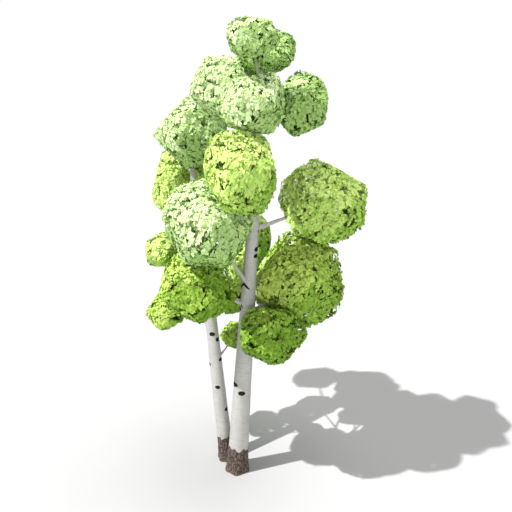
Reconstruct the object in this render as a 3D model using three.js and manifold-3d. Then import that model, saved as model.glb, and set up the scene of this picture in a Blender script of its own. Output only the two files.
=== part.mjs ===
// A two-stemmed birch about nine metres tall, rooted in level ground.
//
// The main stem leans a little to the right and ends in the top of the crown. The second stem leans
// to the left and back and ends in the left shoulder. Boughs leave both stems and each ends where it
// enters a mass of foliage. A mass is one stem, twigs that fan out from it, leaves on the twigs and a
// smaller core that they stand out of, all fused into one solid. Masses, boughs and stems never touch.
//
// Millimetres, +Z up. The origin is the middle of the main stem's flat cut at ground level.

import * as THREE from "three";
import { mergeVertices } from "three/addons/utils/BufferGeometryUtils.js";
import Module from "manifold-3d";

const wasm = await Module();
wasm.setup();

// ---------------------------------------------------------------- driving dimensions

const SEAT_GAP = 0.3; // between a bough and its stem, and between a bough and its mass
const LEAF_CLEARANCE = 2; // between a limb and the nearest leaf or core
const SPACE_GAP = 1; // from a mass to the plane that parts it from its neighbour

// Each stem is a cubic curve whose height grows evenly along it, so that every ring is level.
const STEMS = {
  main: {
    foot: [0, 0],
    middle: [142, -10],
    upper: [380, -40],
    tip: [480, 170],
    height: 8200,
    footRadius: 214,
    tipRadius: 32,
    taper: 0.75,
    sides: 16,
    rings: 16,
    towardOther: Math.atan2(376, -245),
  },
  second: {
    foot: [-245, 376],
    middle: [-460, 670],
    upper: [-630, 1000],
    tip: [-905, 1450],
    height: 6200,
    footRadius: 156,
    tipRadius: 36,
    taper: 0.45,
    sides: 14,
    rings: 14,
    towardOther: Math.atan2(-376, 245),
  },
};
const FLARE = { width: 38, height: 240, lobes: 5, lobeDepth: 0.5 };
const ROOT_JOIN = 50; // how much further a stem's flare reaches where the two stems meet in one root

const BOUGH = {
  sides: 6,
  rings: 5,
  rootRadius: (size) => 12 + 0.037 * size,
  endShare: 0.6, // radius where it enters its mass, as a share of the root's
  heartShare: 0.35, // radius at the middle of the mass
  collar: 0.55, // swelling at the root, as a share of the root's radius
  collarLength: 110,
  lowRise: 0.25, // share of the climb made by the half-way control point, low on the stem
  highRise: 0.6, // and at its top
  tipSink: 30, // how far below a stem's tip the stem of its top mass begins, before it is cut clear
  tipShare: 0.95, // and its radius there, as a share of the tip's
};

const MASS = {
  flats: 12, // seeded flat sides of a mass's space, spread evenly round it
  flatDistance: [0.72, 0.94], // of the half-size
  core: 0.9, // the core's share of the reach
  leavesPerMetre: 32, // leaves for each metre of a mass's mean half-size
  leafLeans: [0, -1, 1], // each twig's leaves: one straight on and one to each side
  twigRadius: 13,
  twigEnd: 0.9, // share of the reach where a twig ends
  twigForks: [0.45, 0.9], // where the twigs leave the mass's stem
  twigBand: [0.2, 0.8], // where a twig may lie in its own band of height
  twigSwing: 0.5, // radians that a twig may turn from its place in the spiral
  leafRoot: 0.78,
  leafTip: 0.985,
  leafSpread: [0.4, 0.6], // radians from a twig to the leaves beside it
  leafStagger: 0.1, // how far along the twig the leaves' roots vary, as a share of it
  leafWidth: 0.52, // of the leaf's length
  leafThickness: 0.05,
  leafWidest: 0.45,
};

const GOLDEN_TURN = Math.PI * (3 - Math.sqrt(5)); // spreads flat sides and twigs evenly
const LEAF_SEED = 130;

// The masses that each stem carries: the height where the mass's bough leaves the stem (none where the
// stem's own tip enters it), the seed of its flat sides, its tone, its middle and its half-sizes.
const CROWN = {
  main: {
    top_back: { seed: 106, tone: "pale", middle: [590, 420, 8440], half: [580, 670, 430] },
    top_front: { fork: 7850, seed: 397, tone: "pale", middle: [330, -910, 8690], half: [460, 410, 350] },
    upper_left: { fork: 6950, seed: 155, tone: "pale", middle: [-160, 540, 7820], half: [660, 760, 690] },
    upper_front: { fork: 7250, seed: 80, tone: "pale", middle: [350, -610, 7660], half: [600, 750, 600] },
    upper_right: { fork: 7200, seed: 323, tone: "pale", middle: [1210, -30, 7590], half: [550, 690, 640] },
    middle_front: { fork: 5950, seed: 204, tone: "lime", middle: [160, -940, 6550], half: [670, 690, 870] },
    left_front: { fork: 4200, seed: 75, tone: "pale", middle: [-420, -700, 5620], half: [850, 910, 980] },
    right: { fork: 5300, seed: 297, tone: "lime", middle: [1690, 450, 5710], half: [910, 970, 910] },
    right_low: { fork: 3600, seed: 138, tone: "deep", middle: [1230, 230, 4230], half: [950, 950, 1090] },
    right_skirt: { fork: 2950, seed: 17, tone: "deep", middle: [690, -520, 3460], half: [730, 650, 610] },
    left_low: { fork: 3800, seed: 172, tone: "deep", middle: [-730, -230, 4260], half: [810, 760, 750] },
    back_upper: { fork: 5600, seed: 11, tone: "lime", middle: [160, 1220, 6230], half: [550, 560, 550] },
    back_right_low: { fork: 3050, seed: 12, tone: "deep", middle: [1250, 1500, 3800], half: [560, 560, 560] },
    back_middle: { fork: 2900, seed: 26, tone: "lime", middle: [280, 2210, 4460], half: [470, 550, 700] },
    back_low: { fork: 3650, seed: 76, tone: "deep", middle: [-100, 1660, 3280], half: [530, 490, 450] },
    back_inner: { fork: 3750, seed: 14, tone: "lime", middle: [170, 940, 4330], half: [420, 460, 510] },
  },
  second: {
    left_shoulder: { seed: 385, tone: "pale", middle: [-890, 1790, 6830], half: [850, 880, 770] },
    left_back: { fork: 4600, seed: 237, tone: "lime", middle: [-1470, 2540, 5620], half: [490, 620, 950] },
    back_left: { fork: 5050, seed: 17, tone: "lime", middle: [-680, 2420, 5840], half: [460, 460, 480] },
    back_centre: { fork: 4350, seed: 18, tone: "lime", middle: [-330, 1580, 5070], half: [490, 490, 490] },
    far_left: { fork: 3950, seed: 143, tone: "lime", middle: [-1540, 950, 4590], half: [370, 510, 390] },
    far_left_low: { fork: 3000, seed: 239, tone: "deep", middle: [-1470, 910, 3260], half: [470, 570, 420] },
    between_stems: { fork: 2200, seed: 259, tone: "deep", middle: [-60, 750, 2790], half: [350, 370, 300] },
  },
};

// ---------------------------------------------------------------- materials

function matt(color, roughness) {
  return new THREE.MeshStandardMaterial({ color, roughness, metalness: 0, flatShading: true });
}

const bark = matt(0xdcdbd6, 0.75);
const boughBark = matt(0xc9c4bc, 0.75);
const foliage = { pale: matt(0xbcd98a, 0.8), lime: matt(0xafd468, 0.8), deep: matt(0x7ea53c, 0.8) };

// ---------------------------------------------------------------- helpers

function between([low, high], share) {
  return low + (high - low) * share;
}

// Park and Miller's random numbers from 0 to 1.
function seeded(seed) {
  let state = 7919 * (seed + 1);
  return () => {
    state = (state * 48271) % 2147483647;
    return state / 2147483647;
  };
}

function solid(geometry) {
  const bare = geometry.clone();
  bare.deleteAttribute("normal");
  bare.deleteAttribute("uv");
  const merged = mergeVertices(bare);
  return new wasm.Manifold(
    new wasm.Mesh({
      numProp: 3,
      vertProperties: new Float32Array(merged.attributes.position.array),
      triVerts: new Uint32Array(merged.index.array),
    }),
  );
}

function mesh(name, body, material) {
  const { vertProperties, triVerts } = body.getMesh();
  const geometry = new THREE.BufferGeometry();
  geometry.setAttribute("position", new THREE.BufferAttribute(vertProperties, 3));
  geometry.setIndex(new THREE.BufferAttribute(triVerts, 1));
  geometry.computeVertexNormals();
  const result = new THREE.Mesh(geometry, material.clone());
  result.name = name;
  return result;
}

function moveVertices(geometry, move) {
  const place = geometry.attributes.position;
  const vertex = new THREE.Vector3();
  for (let i = 0; i < place.count; i++) {
    vertex.fromBufferAttribute(place, i);
    move(vertex);
    place.setXYZ(i, vertex.x, vertex.y, vertex.z);
  }
  return geometry;
}

// A closed limb: a cylinder whose rings lie along a curve, level or square to it.
function limb({ curve, radiusAt, sides, rings, from = 0, to = 1, level = false }) {
  const up = new THREE.Vector3(0, 0, 1);
  const turn = new THREE.Quaternion();
  const geometry = new THREE.CylinderGeometry(1, 1, 1, sides, rings);
  return solid(
    moveVertices(geometry, (vertex) => {
      const t = from + (vertex.y + 0.5) * (to - from);
      const angle = Math.atan2(-vertex.z, vertex.x);
      const radius = Math.hypot(vertex.x, vertex.z) * radiusAt(t, angle);
      if (!level) turn.setFromUnitVectors(up, curve.getTangent(t));
      vertex.set(radius * Math.cos(angle), radius * Math.sin(angle), 0);
      vertex.applyQuaternion(turn).add(curve.getPoint(t));
    }),
  );
}

function largestBody(body) {
  return body.decompose().reduce((best, other) => (other.volume() > best.volume() ? other : best));
}

// ---------------------------------------------------------------- stems

function stemCurve({ foot, middle, upper, tip, height }) {
  return new THREE.CubicBezierCurve3(
    new THREE.Vector3(...foot, 0),
    new THREE.Vector3(...middle, height / 3),
    new THREE.Vector3(...upper, (height * 2) / 3),
    new THREE.Vector3(...tip, height),
  );
}

function stemRadius(stem, t, angle) {
  const shaft = stem.tipRadius + (stem.footRadius - stem.tipRadius) * Math.max(0, 1 - t) ** stem.taper;
  const lobe = 1 + FLARE.lobeDepth * Math.cos(FLARE.lobes * (angle - stem.towardOther));
  const join = ROOT_JOIN * Math.max(0, Math.cos(angle - stem.towardOther)) ** 6;
  return shaft + (FLARE.width * lobe + join) * Math.exp((-t * stem.height) / FLARE.height);
}

// Rings lie closer together in the root flare: their share of the height grows as its square.
function stemSolid(stem, extra) {
  const reachTop = 1 + extra / stem.height;
  const even = stemCurve(stem);
  const curve = {
    getPoint: (t) => even.getPoint(t * t * reachTop),
    getTangent: (t) => even.getTangent(t * t * reachTop),
  };
  return limb({
    curve,
    radiusAt: (t, angle) => stemRadius(stem, t * t * reachTop, angle) + extra,
    sides: stem.sides,
    rings: stem.rings,
    level: true,
  });
}

const group = new THREE.Group();
const stemBodies = {
  main: stemSolid(STEMS.main, 0),
  second: stemSolid(STEMS.second, 0).subtract(stemSolid(STEMS.main, SEAT_GAP)),
};
const stemSeats = { main: stemSolid(STEMS.main, SEAT_GAP), second: stemSolid(STEMS.second, SEAT_GAP) };
group.add(mesh("stem_main", stemBodies.main, bark));
group.add(mesh("stem_second", stemBodies.second, bark));

// ---------------------------------------------------------------- spaces of the masses

const masses = [];
for (const [stem, carried] of Object.entries(CROWN)) {
  for (const [name, { fork, seed, tone, middle, half }] of Object.entries(carried)) {
    const random = seeded(seed);
    const spin = 2 * Math.PI * random();
    const flats = Array.from({ length: MASS.flats }, (_, i) => {
      const height = 1 - (2 * (i + random())) / MASS.flats;
      const turn = spin + i * GOLDEN_TURN;
      const wide = Math.sqrt(1 - height * height);
      const normal = new THREE.Vector3(wide * Math.cos(turn), wide * Math.sin(turn), height);
      return { normal, distance: between(MASS.flatDistance, random()) };
    });
    const size = (half[0] + half[1] + half[2]) / 3;
    const place = { middle: new THREE.Vector3(...middle), half: new THREE.Vector3(...half) };
    masses.push({ name, index: masses.length, stem, fork, tone, flats, size, ...place });
  }
}

function ellipsoidReach({ half }, direction) {
  return 1 / direction.clone().divide(half).length();
}

// Distance from a mass's middle to the edge of its space: an ellipsoid with seeded flat sides, cut by
// a plane between it and each neighbour.
function reach(mass, direction) {
  const scaled = direction.clone().divide(mass.half);
  let distance = 1 / scaled.length();
  for (const flat of mass.flats) {
    const toward = scaled.dot(flat.normal);
    if (toward > 0) distance = Math.min(distance, flat.distance / toward);
  }
  for (const other of masses) {
    if (other === mass) continue;
    const normal = other.middle.clone().sub(mass.middle);
    const span = normal.length();
    normal.divideScalar(span);
    const toward = direction.dot(normal);
    if (toward <= 0) continue;
    const own = ellipsoidReach(mass, normal);
    const plane = (span * own) / (own + ellipsoidReach(other, normal)) - SPACE_GAP;
    distance = Math.min(distance, plane / toward);
  }
  return distance;
}

function isInside(mass, point) {
  const offset = point.clone().sub(mass.middle);
  const distance = offset.length();
  return distance === 0 || distance <= reach(mass, offset.divideScalar(distance));
}

// ---------------------------------------------------------------- boughs

// From the stem's axis to the middle of the mass: flat at first low on the stem, steep at its top.
function boughCurve(mass) {
  const stem = STEMS[mass.stem];
  const share = (mass.fork ?? stem.height - BOUGH.tipSink) / stem.height;
  const start = stemCurve(stem).getPoint(share);
  const rise = between([BOUGH.lowRise, BOUGH.highRise], share);
  const control = start.clone().lerp(mass.middle, 0.5);
  control.z = start.z + rise * (mass.middle.z - start.z);
  return new THREE.QuadraticBezierCurve3(start, control, mass.middle);
}

// The share of the curve where it enters the mass's space, found by halving.
function entry(mass, curve) {
  const halvings = 30;
  let outside = 0;
  let inside = 1;
  for (let step = 0; step < halvings; step++) {
    const half = (outside + inside) / 2;
    if (isInside(mass, curve.getPoint(half))) inside = half;
    else outside = half;
  }
  return inside;
}

function boughRadius(mass, curve, enters, t) {
  const root = mass.fork ? BOUGH.rootRadius(mass.size) : BOUGH.tipShare * STEMS[mass.stem].tipRadius;
  const end = BOUGH.endShare * root;
  if (t > enters) return end + (BOUGH.heartShare * root - end) * ((t - enters) / (1 - enters));
  const collar = BOUGH.collar * root * Math.exp((-t * curve.getLength()) / BOUGH.collarLength);
  return root + (end - root) * (t / enters) + collar;
}

let aroundLimbs = Object.values(STEMS)
  .map((stem) => stemSolid(stem, LEAF_CLEARANCE))
  .reduce((all, around) => all.add(around));
for (const mass of masses) {
  const curve = boughCurve(mass);
  const enters = mass.fork ? entry(mass, curve) : 0;
  const gap = SEAT_GAP / curve.getTangent(enters).multiplyScalar(curve.getLength()).length();
  Object.assign(mass, { curve, enters: enters + gap });
  if (!mass.fork) continue;
  const shape = { curve, sides: BOUGH.sides, rings: BOUGH.rings, to: enters };
  const bough = limb({ ...shape, radiusAt: (t) => boughRadius(mass, curve, enters, t) });
  const around = limb({ ...shape, radiusAt: (t) => boughRadius(mass, curve, enters, t) + LEAF_CLEARANCE });
  group.add(mesh(`bough_${mass.name}`, largestBody(bough.subtract(stemSeats[mass.stem])), boughBark));
  aroundLimbs = aroundLimbs.add(around);
}

// ---------------------------------------------------------------- foliage

function core(mass) {
  const direction = new THREE.Vector3();
  const ball = moveVertices(new THREE.IcosahedronGeometry(1, 1), (vertex) => {
    direction.copy(vertex).normalize();
    vertex.copy(direction).multiplyScalar(MASS.core * reach(mass, direction)).add(mass.middle);
  });
  return solid(ball).subtract(aroundLimbs);
}

function along(from, to, side) {
  const heading = to.clone().sub(from);
  const length = heading.length();
  heading.divideScalar(length);
  const across = side.clone().addScaledVector(heading, -side.dot(heading)).normalize();
  const frame = new THREE.Matrix4().makeBasis(across, heading, across.clone().cross(heading));
  return { length, frame: frame.setPosition(from) };
}

function twig(from, to, side) {
  const { length, frame } = along(from, to, side);
  const cone = new THREE.ConeGeometry(MASS.twigRadius, length, 3);
  return solid(cone.translate(0, length / 2, 0).applyMatrix4(frame));
}

// A leaf is a long flat octahedron: a root, a tip, two sides and a slight thickness.
function leaf(from, to, side) {
  const { length, frame } = along(from, to, side);
  const blade = moveVertices(new THREE.OctahedronGeometry(1, 0), (vertex) => {
    const end = vertex.y > 0 ? vertex.y * (1 - MASS.leafWidest) : vertex.y * MASS.leafWidest;
    vertex.set(vertex.x * MASS.leafWidth * 0.5, end + MASS.leafWidest, vertex.z * MASS.leafThickness * 0.5);
    vertex.multiplyScalar(length).applyMatrix4(frame);
  });
  return { blade: solid(blade), corners: blade.attributes.position };
}

function staysClear(mass, { blade, corners }) {
  const corner = new THREE.Vector3();
  for (let i = 0; i < corners.count; i++) {
    if (!isInside(mass, corner.fromBufferAttribute(corners, i))) return false;
  }
  return blade.intersect(aroundLimbs).isEmpty();
}

function inDirection(mass, direction, share) {
  return direction.clone().multiplyScalar(share * reach(mass, direction)).add(mass.middle);
}

function foliageSolid(mass) {
  const random = seeded(LEAF_SEED + mass.index);
  const { curve, enters } = mass;
  const stem = limb({
    curve,
    radiusAt: (t) => boughRadius(mass, curve, enters, t),
    sides: BOUGH.sides,
    rings: 2,
    from: enters,
  });
  let body = (mass.fork ? stem : stem.subtract(stemSeats[mass.stem])).add(core(mass));
  const count = Math.round((MASS.leavesPerMetre * mass.size) / 1000 / MASS.leafLeans.length);
  for (let i = 0; i < count; i++) {
    const height = 1 - (2 * (i + between(MASS.twigBand, random()))) / count;
    const turn = i * GOLDEN_TURN + MASS.twigSwing * random();
    const wide = Math.sqrt(1 - height * height);
    const direction = new THREE.Vector3(wide * Math.cos(turn), wide * Math.sin(turn), height);
    const side = new THREE.Vector3(random() - 0.5, random() - 0.5, random() - 0.5);
    side.cross(direction).normalize();
    const fork = curve.getPoint(enters + (1 - enters) * between(MASS.twigForks, random()));
    const end = inDirection(mass, direction, MASS.twigEnd);
    const shoot = twig(fork, end, side);
    if (!shoot.intersect(aroundLimbs).isEmpty()) continue;
    body = body.add(shoot);
    const facing = direction.clone().cross(side);
    for (const lean of MASS.leafLeans) {
      const toward = direction.clone().applyAxisAngle(facing, lean * between(MASS.leafSpread, random()));
      const root = fork.clone().lerp(end, MASS.leafRoot / MASS.twigEnd + MASS.leafStagger * random());
      const spray = leaf(root, inDirection(mass, toward, MASS.leafTip), lean ? facing : side);
      if (staysClear(mass, spray)) body = body.add(spray.blade);
    }
  }
  return largestBody(body);
}

for (const mass of masses) {
  group.add(mesh(`foliage_${mass.name}`, foliageSolid(mass), foliage[mass.tone]));
}

export default group;
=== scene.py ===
"""A two-stemmed birch, about nine metres tall: bark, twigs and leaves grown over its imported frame.

The stems and boughs get meshes with the relief of real bark. Each mass of foliage is grown again by
its own rule and carried on to finer twigs: twigs fan out from the mass's stem, laterals fill the
space between them, shoots leave the laterals, and leaves stand along the shoots.

Tables are in millimetres, as the solids are. Everything that is made from them is in metres.
"""

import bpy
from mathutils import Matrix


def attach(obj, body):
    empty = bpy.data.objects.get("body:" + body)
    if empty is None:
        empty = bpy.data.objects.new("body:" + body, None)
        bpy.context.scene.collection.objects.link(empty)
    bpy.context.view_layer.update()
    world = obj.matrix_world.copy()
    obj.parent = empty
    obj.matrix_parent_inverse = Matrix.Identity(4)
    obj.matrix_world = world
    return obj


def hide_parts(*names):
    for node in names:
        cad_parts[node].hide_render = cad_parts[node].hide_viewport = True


bl_info = {
    "name": "Birch tree",
    "version": (1, 0, 0),
    "blender": (4, 5, 0),
    "location": "3D View > Sidebar > Birch",
    "description": "Grows the bark, twigs and leaves of a two-stemmed birch over its frame",
    "category": "Add Mesh",
}

import math
from functools import partial

import bmesh
import bpy
import numpy as np
from bpy.props import FloatProperty, FloatVectorProperty, IntProperty, PointerProperty
from mathutils import Vector, noise

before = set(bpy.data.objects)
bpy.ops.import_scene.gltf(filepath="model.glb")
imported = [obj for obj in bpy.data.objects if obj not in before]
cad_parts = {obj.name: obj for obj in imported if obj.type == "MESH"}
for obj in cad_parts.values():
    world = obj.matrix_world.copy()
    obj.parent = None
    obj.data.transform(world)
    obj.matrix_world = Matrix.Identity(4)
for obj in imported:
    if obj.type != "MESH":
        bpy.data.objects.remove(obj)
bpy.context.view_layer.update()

MM = 0.001
TINY = 1e-9
GOLDEN_TURN = math.pi * (3 - math.sqrt(5))
SEED_STEP, MULTIPLIER, MODULUS = 7919, 48271, 2147483647  # of the random numbers that shape the spaces

# ---------------------------------------------------------------- the tree's plan, in millimetres

# Each stem is a cubic curve whose height grows evenly along it.
STEMS = {
    "main": {
        "across": [(0, 0), (142, -10), (380, -40), (480, 170)],
        "height": 8200,
        "foot_radius": 214,
        "tip_radius": 32,
        "taper": 0.75,
        "toward_other": math.atan2(376, -245),
        "sides": 96,
        "rings": 760,
    },
    "second": {
        "across": [(-245, 376), (-460, 670), (-630, 1000), (-905, 1450)],
        "height": 6200,
        "foot_radius": 156,
        "tip_radius": 36,
        "taper": 0.45,
        "toward_other": math.atan2(-376, 245),
        "sides": 72,
        "rings": 600,
    },
}
FLARE_WIDTH, FLARE_HEIGHT, FLARE_LOBES, FLARE_DEPTH = 38, 240, 5, 0.5
ROOT_JOIN, ROOT_JOIN_POWER = 50, 6  # how far the flare reaches toward the other stem

# A bough's radius at its root, as a length and a share of its mass's size, and its radii where it
# enters the mass's space and in the middle of it, as shares of that.
BOUGH_ROOT, BOUGH_ROOT_SHARE = 12, 0.037
BOUGH_END, BOUGH_HEART = 0.6, 0.35
COLLAR, COLLAR_LENGTH = 0.55, 110
RISES = (0.25, 0.6)  # how much of its climb a bough's bend has made, low and high on the stem
TIP_SINK, TIP_SHARE = 30, 0.95  # of a mass's own stem, set into the tip of a stem

FLATS, FLAT_DISTANCE = 12, (0.72, 0.94)  # flat sides of a space, and where they cut its half-sizes
SPACE_GAP = 1  # from a space to the plane that parts it from its neighbour

# The masses that each stem carries: the height where the mass's bough leaves the stem (none where the
# stem's own tip enters it), the seed of its flat sides, its tone, its middle, its half-sizes, and how
# far its leaves lean to the shade end of the tone. The lean is partly the mass's own tone and partly
# painted light and shade: darker for a mass that stands in another's shade, lighter for one in full
# light.
CROWN = {
    "main": [
        ("top_back", None, 106, "pale", (590, 420, 8440), (580, 670, 430), 0.42),
        ("top_front", 7850, 397, "pale", (330, -910, 8690), (460, 410, 350), 0.2),
        ("upper_left", 6950, 155, "pale", (-160, 540, 7820), (660, 760, 690), -0.42),
        ("upper_front", 7250, 80, "pale", (350, -610, 7660), (600, 750, 600), -0.22),
        ("upper_right", 7200, 323, "pale", (1210, -30, 7590), (550, 690, 640), 0.52),
        ("middle_front", 5950, 204, "lime", (160, -940, 6550), (670, 690, 870), -0.1),
        ("left_front", 4200, 75, "pale", (-420, -700, 5620), (850, 910, 980), -0.05),
        ("right", 5300, 297, "lime", (1690, 450, 5710), (910, 970, 910), -0.1),
        ("right_low", 3600, 138, "deep", (1230, 230, 4230), (950, 950, 1090), -0.15),
        ("right_skirt", 2950, 17, "deep", (690, -520, 3460), (730, 650, 610), 0.42),
        ("left_low", 3800, 172, "deep", (-730, -230, 4260), (810, 760, 750), 0.16),
        ("back_upper", 5600, 11, "lime", (160, 1220, 6230), (550, 560, 550), 0.0),
        ("back_right_low", 3050, 12, "deep", (1250, 1500, 3800), (560, 560, 560), 0.0),
        ("back_middle", 2900, 26, "lime", (280, 2210, 4460), (470, 550, 700), 0.0),
        ("back_low", 3650, 76, "deep", (-100, 1660, 3280), (530, 490, 450), 0.0),
        ("back_inner", 3750, 14, "lime", (170, 940, 4330), (420, 460, 510), 0.0),
    ],
    "second": [
        ("left_shoulder", None, 385, "pale", (-890, 1790, 6830), (850, 880, 770), -0.08),
        ("left_back", 4600, 237, "lime", (-1470, 2540, 5620), (490, 620, 950), -0.5),
        ("back_left", 5050, 17, "lime", (-680, 2420, 5840), (460, 460, 480), 0.0),
        ("back_centre", 4350, 18, "lime", (-330, 1580, 5070), (490, 490, 490), 0.0),
        ("far_left", 3950, 143, "lime", (-1540, 950, 4590), (370, 510, 390), -0.15),
        ("far_left_low", 3000, 239, "deep", (-1470, 910, 3260), (470, 570, 420), -0.15),
        ("between_stems", 2200, 259, "deep", (-60, 750, 2790), (350, 370, 300), 0.1),
    ],
}

# Black scars on the stems: height, the side that it faces in degrees, its width and its height.
SCARS = {
    "main": [
        (2100, 214, 150, 100),
        (1940, 268, 150, 100),
        (4950, 322, 120, 90),
        (4820, 318, 120, 80),
        (3740, 196, 110, 90),
        (2900, 30, 130, 80),
        (1300, 75, 150, 90),
        (2450, 120, 110, 70),
        (3450, 160, 120, 80),
        (4300, 60, 100, 80),
        (1050, 160, 120, 70),
        (5600, 100, 100, 60),
        (6300, 250, 90, 60),
    ],
    "second": [
        (2830, 272, 120, 90),
        (2700, 322, 110, 90),
        (2260, 330, 120, 80),
        (1680, 268, 110, 80),
        (2150, 204, 90, 60),
        (1160, 326, 110, 80),
        (3300, 250, 90, 70),
        (1450, 90, 120, 80),
        (2500, 60, 110, 80),
        (3100, 130, 90, 70),
        (1950, 150, 100, 60),
        (3900, 40, 90, 60),
        (4700, 280, 80, 60),
    ],
}

# A leaf's outline, as shares of its length: across it, along it and up from it. The stalk's end comes
# first, then the right side, the tip and the left side, and last the middle of the rib.
LEAF_OUTLINE = np.array(
    [
        (0, 0, 0),
        (0.36, 0.33, 0.05),
        (0.21, 0.66, 0.03),
        (0, 1, -0.05),
        (-0.21, 0.66, 0.03),
        (-0.36, 0.33, 0.05),
        (0, 0.42, 0),
    ]
)
LEAF_FACES = np.array([(0, 1, 6), (1, 2, 6), (2, 3, 6), (3, 4, 6), (4, 5, 6), (5, 0, 6)])
LEAF_SHADES = 4

# ---------------------------------------------------------------- how it grows, in metres and shares

UP = np.array((0.0, 0.0, 1.0))
OFF_UPRIGHT = 0.1  # lean of the upright that sides are measured from, so that upright limbs have sides

STEM_SAMPLES, BOUGH_EVERY = 160, 5  # places along a stem; a bough takes every fifth of them
LIMB_SEARCH = 0.5  # how far round a group of points limbs are looked for
BOUGH_SAMPLES = 65  # places on a bough, for its length and for where it enters its space

BARK_FIELDS = ("along", "foot", "cleft", "scar", "age")
BOUGH_SIDES, BOUGH_RINGS = 20, 70
STEM_DRAW, BOUGH_DRAW = 2, 1.3  # powers that draw the rings toward a limb's root
BROW_SLOPE, BROW_WIDTH, BROW_HEIGHT, BROW_RISE = 0.8, 2.6, 0.7, 1.5  # of the brow over a bough's root

# Noise over the bark: its waves in a metre along X, Y and Z, and its seed.
FOOT_LINE, FOOT_RAGS = ((9, 9, 1.6), 3.1), ((22, 22, 5), 7.7)
RIDGE_GRAIN, SWELLS, RIPPLES = ((30, 30, 11), 1.9), ((2.6, 2.6, 2.1), 5.3), ((6, 6, 60), 9.1)
CLEFT_CELLS, CLEFT_WIDTH = (24, 24, 7), (0.02, 0.24)
LUMPS, LUMP_SHARE = (7, 7, 7), 0.09
RAGS_SHARE, RIDGE_SHARE = 0.5, 0.35
FOOT_SWING, FOOT_BLEND, RUGGED_RANGE = 0.12, 0.1, (-1, 0.6)
CLEFT_SPARE = 0.4  # how far above the foot the clefts are still worked out
SWELL_DEPTH, RIPPLE_DEPTH = 0.0035, 0.0012
SCAR_DEPTH, SCAR_RANGE, LIP_HEIGHT, LIP_WIDTH = 0.006, (0, 0.6), 0.004, 0.25
AGE_RADII = (0.006, 0.034)  # of a bough with the bark of a twig, and of one with the bark of a stem

# The tubes of twigs, laterals and shoots: places along the curve, sides, and the radii at the root
# and the end as shares of a twig's radius.
TUBES = ((9, 5, 1, 0.35), (5, 3, 0.45, 0.2), (3, 3, 0.2, 0.1))

TWIG_SEED = 100
TWIGS_PER_METRE, FEWEST_TWIGS = 32 / 3, 4
TWIG_FORKS = (0.45, 0.9)  # where twigs leave the mass's own stem, between its entry and its middle
TWIG_BAND, TWIG_SWING = (0.2, 0.8), 0.5
TWIG_END, TWIG_ARCH, TWIG_WANDER = 0.9, 0.07, 0.1

FEWEST_LATERALS = 16
INNER_SHARE, INNER_BAND, OUTER_BAND = 0.26, (0.55, 0.8), (0.86, 0.965)
CANDIDATES = 6  # directions that are tried for each one that is taken
FORKS_ON_TWIG, FORKS_ON_HEART = (0.15, 1, 14), (0.1, 1, 8)  # first and last share, and their number
FORK_DEPTH, TOO_FAR = 0.9, 9  # forks past this share of a lateral's reach count as this much further
LATERAL_BEND, LATERAL_FOLLOW, LATERAL_LIFT = 0.5, 0.8, 0.15

SHOOT_BAND, SHOOT_LENGTHS = (0.3, 1), (0.55, 1)
SHOOT_SPREAD, END_SPREAD = (0.5, 1.05), 0.1  # angle between a lateral and its shoots, and its end shoot
SHOOT_OUTWARD, SHOOT_EDGE = 0.35, (0.92, 0.99)

LEAF_BAND, LEAF_LEAN, LEAF_LENGTHS = (0.2, 1), (0.7, 1.1), (0.82, 1.18)
LEAF_HANG, LEAF_LOOSE = 0.35, 0.15
LEAF_LAY, LEAF_TURN = 0.45, 0.3  # how far leaves lie along the space's side, and turn in to stay in it
LEAF_CLEARANCE = 0.01
FACE_OUT, FACE_UP, FACE_LOOSE = 0.2, 0.25, 0.4

# A shade runs from 0, the sun leaf, to 1, the shade leaf. The level is painted light and shade: lighter
# where a flat side faces the key lamp, darker deeper in a mass, with random patches on top.
SHADE_MIDDLE, PAINTED_LIGHT_BY_KEY, PAINTED_SHADE_BY_DEPTH = 0.54, 0.6, 0.1
SHADE_BY_PATCH, SHADE_BY_SHOOT = 0.18, 0.15

FLOOR_SIZE = 150
TOWARD_KEY = (-0.519, -0.189, 0.834)
TOWARD_TOP = (0.2, 0.18, 1.0)
TOWARD_FRONT = (0.25, -0.93, 0.22)


# ---------------------------------------------------------------- settings


class BirchBarkSettings(bpy.types.PropertyGroup):
    """Sizes and colours of the bark."""

    foot_height: FloatProperty(
        name="Foot height",
        description="How far up the main stem the dark rugged bark reaches",
        default=0.58,
        min=0,
        unit="LENGTH",
    )
    second_foot_height: FloatProperty(
        name="Second foot height",
        description="How far up the second stem the dark rugged bark reaches",
        default=0.54,
        min=0,
        unit="LENGTH",
    )
    fissure_depth: FloatProperty(
        name="Fissure depth",
        description="Depth of the clefts in the rugged foot",
        default=0.016,
        min=0,
        unit="LENGTH",
    )
    white: FloatVectorProperty(
        name="White",
        description="Colour of the papery bark",
        subtype="COLOR",
        min=0,
        max=1,
        default=(0.56, 0.55, 0.525),
    )
    grey: FloatVectorProperty(
        name="Grey",
        description="Colour of weathered patches and bands in the papery bark",
        subtype="COLOR",
        min=0,
        max=1,
        default=(0.36, 0.35, 0.335),
    )
    scar: FloatVectorProperty(
        name="Scar",
        description="Colour of the black scars",
        subtype="COLOR",
        min=0,
        max=1,
        default=(0.012, 0.009, 0.009),
    )
    foot: FloatVectorProperty(
        name="Foot",
        description="Colour of the ridges on the rugged foot",
        subtype="COLOR",
        min=0,
        max=1,
        default=(0.128, 0.096, 0.078),
    )
    # The cleft colour darkens the fissures: partly the bark's own colour, partly painted shade in the
    # clefts.
    cleft: FloatVectorProperty(
        name="Cleft",
        description="Colour deep in the foot's fissures",
        subtype="COLOR",
        min=0,
        max=1,
        default=(0.075, 0.055, 0.045),
    )
    twig: FloatVectorProperty(
        name="Twig",
        description="Colour of the young bark on twigs",
        subtype="COLOR",
        min=0,
        max=1,
        default=(0.13, 0.07, 0.045),
    )


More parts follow.
